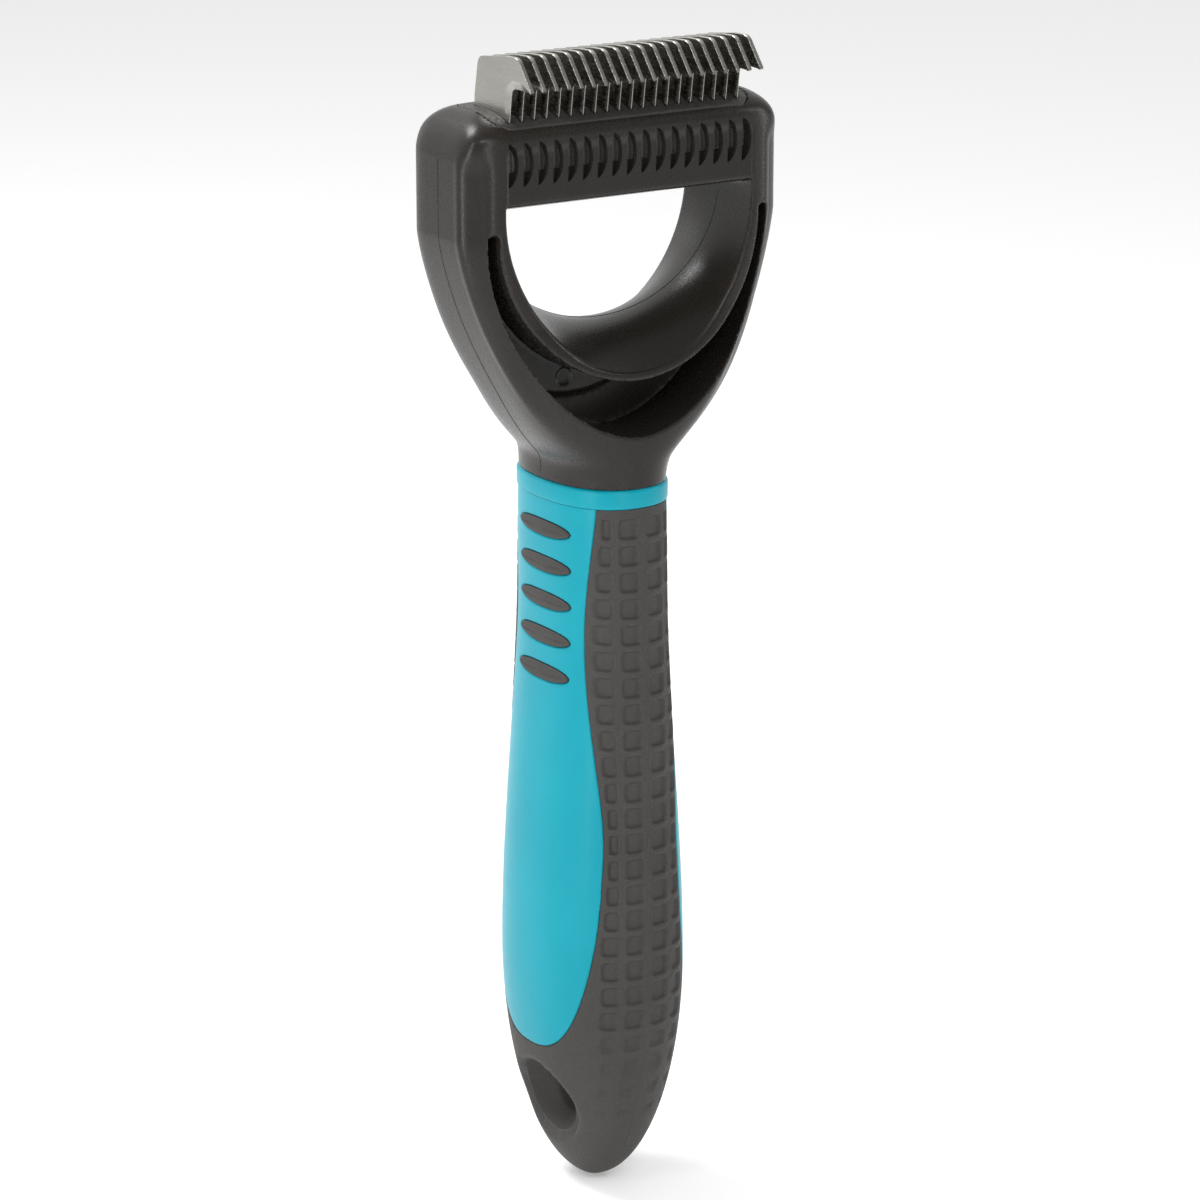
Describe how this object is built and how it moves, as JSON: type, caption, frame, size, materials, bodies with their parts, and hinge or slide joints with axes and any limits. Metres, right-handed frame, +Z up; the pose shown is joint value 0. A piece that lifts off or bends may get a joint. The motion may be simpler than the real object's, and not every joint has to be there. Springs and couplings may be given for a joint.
{
  "type": "dematting comb",
  "caption": "Dematting comb: a row of hooked steel blades on the crossbar of a D-shaped head with a finger window, on a two-colour soft grip with a hang hole.",
  "frame": {"origin": "centre of the hang hole, on the grip's axis", "axes": "+Z up along the grip to the blades, +X along the hang hole and the row of blades, -Y the side that the hooks point to"},
  "size_m": [0.0608, 0.035, 0.198],
  "materials": {
    "head_plastic": "dark warm grey ABS, satin",
    "blade_steel": "stainless steel strip, ground edges",
    "rod_steel": "drawn steel rod",
    "core_plastic": "turquoise polypropylene, satin gloss",
    "grip_rubber": "matte dark grey soft-touch elastomer"
  },
  "bodies": {
    "root": {"head_frame": "head_plastic", "blade_holder": "head_plastic", "tie_rod_front": "rod_steel", "tie_rod_rear": "rod_steel", "blade_01": "blade_steel", "blade_02": "blade_steel", "blade_03": "blade_steel", "blade_04": "blade_steel", "blade_05": "blade_steel", "blade_06": "blade_steel", "blade_07": "blade_steel", "blade_08": "blade_steel", "blade_09": "blade_steel", "blade_10": "blade_steel", "blade_11": "blade_steel", "blade_12": "blade_steel", "blade_13": "blade_steel", "blade_14": "blade_steel", "blade_15": "blade_steel", "blade_16": "blade_steel", "blade_17": "blade_steel", "blade_18": "blade_steel", "blade_19": "blade_steel", "blade_20": "blade_steel", "collar_ring": "core_plastic", "handle_core": "core_plastic", "grip_overmould": "grip_rubber", "grip_inlays_left": "grip_rubber", "grip_inlays_right": "grip_rubber"}
  },
  "joints": []
}
